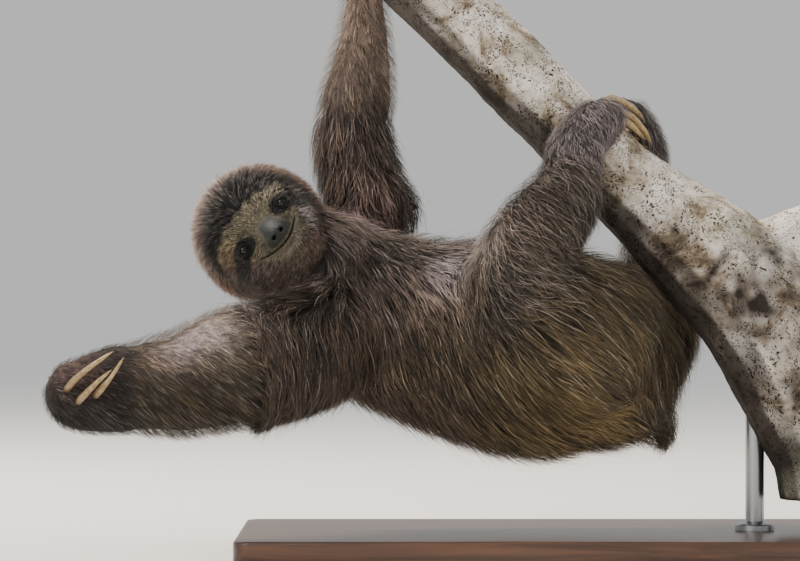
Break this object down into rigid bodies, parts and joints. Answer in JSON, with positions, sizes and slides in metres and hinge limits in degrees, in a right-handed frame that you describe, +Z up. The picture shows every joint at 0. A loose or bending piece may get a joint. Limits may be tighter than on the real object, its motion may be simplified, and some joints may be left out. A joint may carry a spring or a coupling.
{
  "type": "three-toed sloth, museum-style model",
  "caption": "Life-size three-toed sloth hanging belly-up from a cut length of forked branch on a flat display stand.",
  "frame": {"origin": "centre of the stand base's underside", "axes": "+Z up, -X towards the sloth's head, -Y towards its right side, which faces the viewer"},
  "size_m": [0.6209, 0.3023, 0.5212],
  "materials": {
    "coat": "long coarse hair, grey-brown with tan and olive strands",
    "dark_coat": "short dark brown hair with grey tips",
    "face_coat": "very short pale tan hair under a dark brown hood",
    "nose_skin": "bare grey skin, slightly moist",
    "eye": "wet dark brown eye",
    "claw_horn": "pale tan horn, worn smooth",
    "bark": "smooth pale grey bark with dark specks; pale sawn ends",
    "base_wood": "satin varnished hardwood",
    "rod_steel": "brushed"
  },
  "bodies": {
    "root": {"branch": "bark", "stand_base": "base_wood", "stand_rod_stem": "rod_steel", "stand_rod_fork": "rod_steel", "right_finger_claw_1": "claw_horn", "right_finger_claw_2": "claw_horn", "right_finger_claw_3": "claw_horn", "left_finger_claw_1": "claw_horn", "left_finger_claw_2": "claw_horn", "left_finger_claw_3": "claw_horn", "right_toe_claw_1": "claw_horn", "right_toe_claw_2": "claw_horn", "right_toe_claw_3": "claw_horn", "left_toe_claw_1": "claw_horn", "left_toe_claw_2": "claw_horn", "left_toe_claw_3": "claw_horn", "right_eye": "eye", "left_eye": "eye", "nose": "nose_skin", "head": "face_coat", "neck": "coat", "trunk_front": "coat", "trunk_rear": "coat", "tail": "coat", "right_upper_arm": "coat", "right_forearm": "coat", "right_hand": "dark_coat", "left_upper_arm": "coat", "left_forearm": "coat", "left_hand": "dark_coat", "right_thigh": "coat", "right_shank": "coat", "right_foot": "dark_coat", "left_thigh": "coat", "left_shank": "coat", "left_foot": "dark_coat"}
  },
  "joints": []
}
